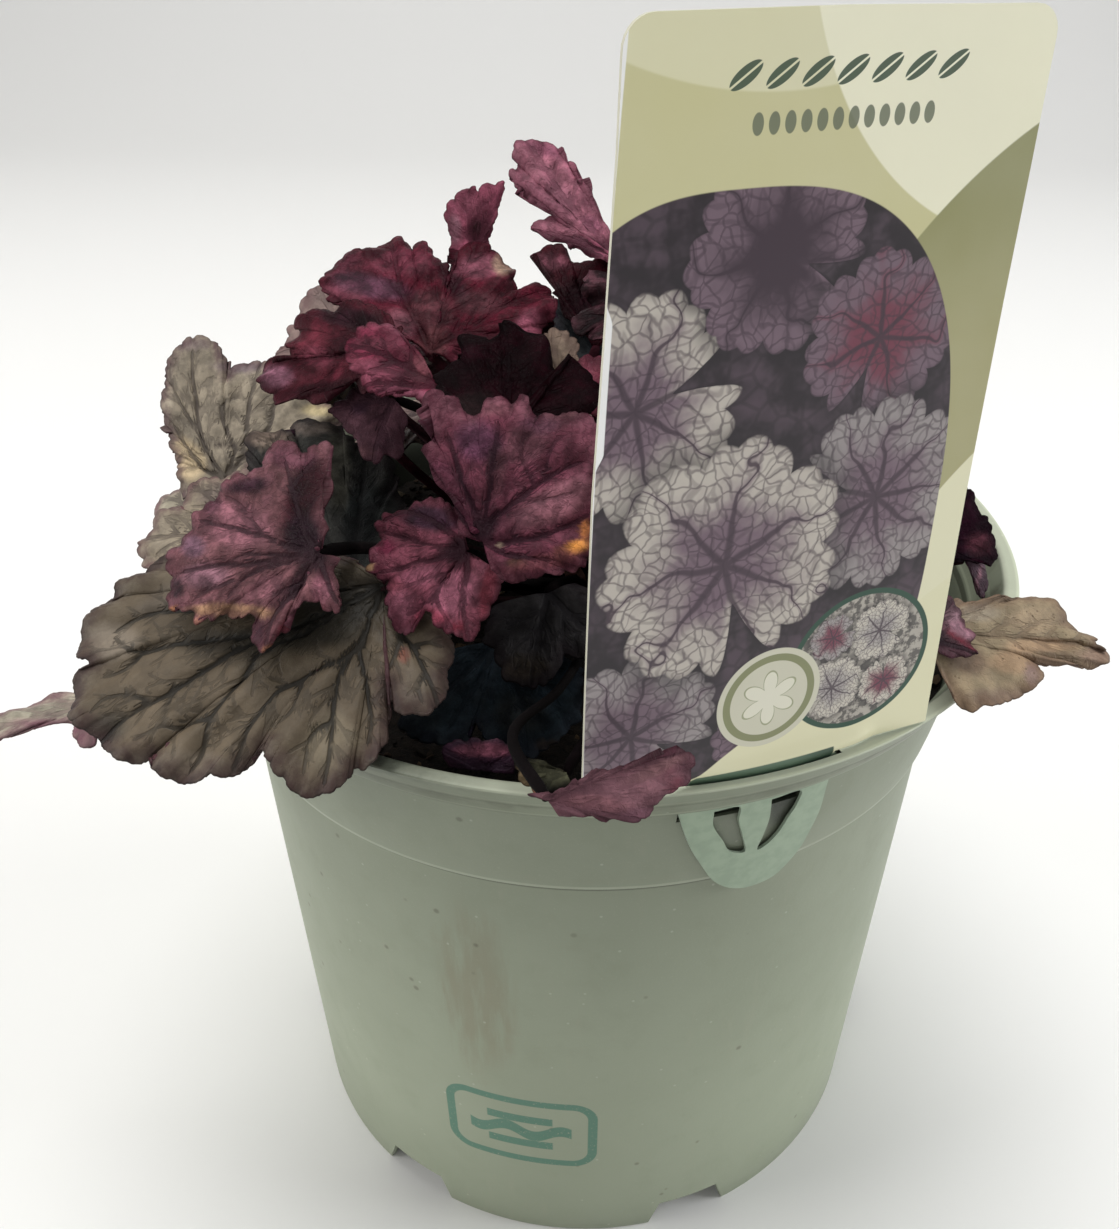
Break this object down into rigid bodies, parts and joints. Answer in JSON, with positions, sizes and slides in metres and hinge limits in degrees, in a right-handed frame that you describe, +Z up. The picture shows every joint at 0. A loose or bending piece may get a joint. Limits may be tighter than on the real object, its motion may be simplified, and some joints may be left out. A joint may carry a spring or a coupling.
{
  "type": "potted heuchera plant",
  "caption": "Low mound of lobed, veined purple and silver leaves on long stalks from a short crown, in a tapered nursery pot with a plastic label through its rim.",
  "frame": {"origin": "centre of the pot's underside, on the surface the pot stands on", "axes": "+Z up along the pot's axis, +Y towards the back of the pot, +X to its right seen from the front; the label stands at the front, right of the middle"},
  "size_m": [0.1957, 0.1831, 0.2465],
  "materials": {
    "pot_plastic": "satin sage-green polypropylene with fine pale specks",
    "compost": "dark, rough, granular peat compost",
    "crown": "rough, brown, scaly rhizome",
    "label_plastic": "printed plastic sheet, cream, olive and a leafy panel",
    "leaf_silver": "silvered leaf, grey-cream between darker veins, matt satin",
    "leaf_purple": "dusty purple leaf with dark veins, matt satin",
    "leaf_maroon": "dark maroon leaf, matt satin",
    "leaf_green": "dark grey-green leaf, matt satin",
    "leaf_tan": "dry tan leaf, matt"
  },
  "bodies": {
    "root": {"pot": "pot_plastic", "compost": "compost", "crown": "crown", "plant_label": "label_plastic", "leaf_01_low_left": "leaf_silver", "leaf_02_far_left": "leaf_silver", "leaf_03_left_purple": "leaf_purple", "leaf_04_upper_left": "leaf_silver", "leaf_05_dark_under": "leaf_green", "leaf_06_pale_left": "leaf_silver", "leaf_07_left_edge": "leaf_silver", "leaf_08_top_back": "leaf_purple", "leaf_09_top_left": "leaf_maroon", "leaf_10_mid_pink": "leaf_purple", "leaf_11_centre": "leaf_purple", "leaf_12_centre_low": "leaf_purple", "leaf_13_small_brown": "leaf_maroon", "leaf_14_upright": "leaf_purple", "leaf_15_top": "leaf_purple", "leaf_16_dark_ruffled": "leaf_maroon", "leaf_17_tan_scrap": "leaf_tan", "leaf_18_red_right": "leaf_maroon", "leaf_19_under_centre": "leaf_green", "leaf_20_low_dark": "leaf_green", "leaf_21_rim_folded": "leaf_purple", "leaf_22_rim_dark": "leaf_green", "leaf_23_over_rim": "leaf_purple", "leaf_24_right_dark": "leaf_maroon", "leaf_25_right_narrow": "leaf_purple", "leaf_26_right_tan": "leaf_tan", "leaf_27_right_lilac": "leaf_purple", "leaf_28_grey_behind": "leaf_silver", "leaf_29_teal_dark": "leaf_green", "leaf_30_back_skirt": "leaf_silver", "leaf_31_back_skirt": "leaf_purple", "leaf_32_back_skirt": "leaf_silver", "leaf_33_back_skirt": "leaf_silver", "leaf_35_side_mid": "leaf_purple", "leaf_36_side_mid": "leaf_maroon", "leaf_37_side_mid": "leaf_silver", "leaf_38_back_mid": "leaf_purple", "leaf_39_back_mid": "leaf_silver", "leaf_40_back_mid": "leaf_purple", "leaf_41_crown_top": "leaf_purple", "leaf_42_crown_top": "leaf_maroon", "leaf_43_crown_top": "leaf_purple", "leaf_44_front_low": "leaf_silver", "leaf_45_front_low": "leaf_purple", "leaf_46_hollow": "leaf_maroon", "leaf_47_under_fold": "leaf_green"}
  },
  "joints": []
}
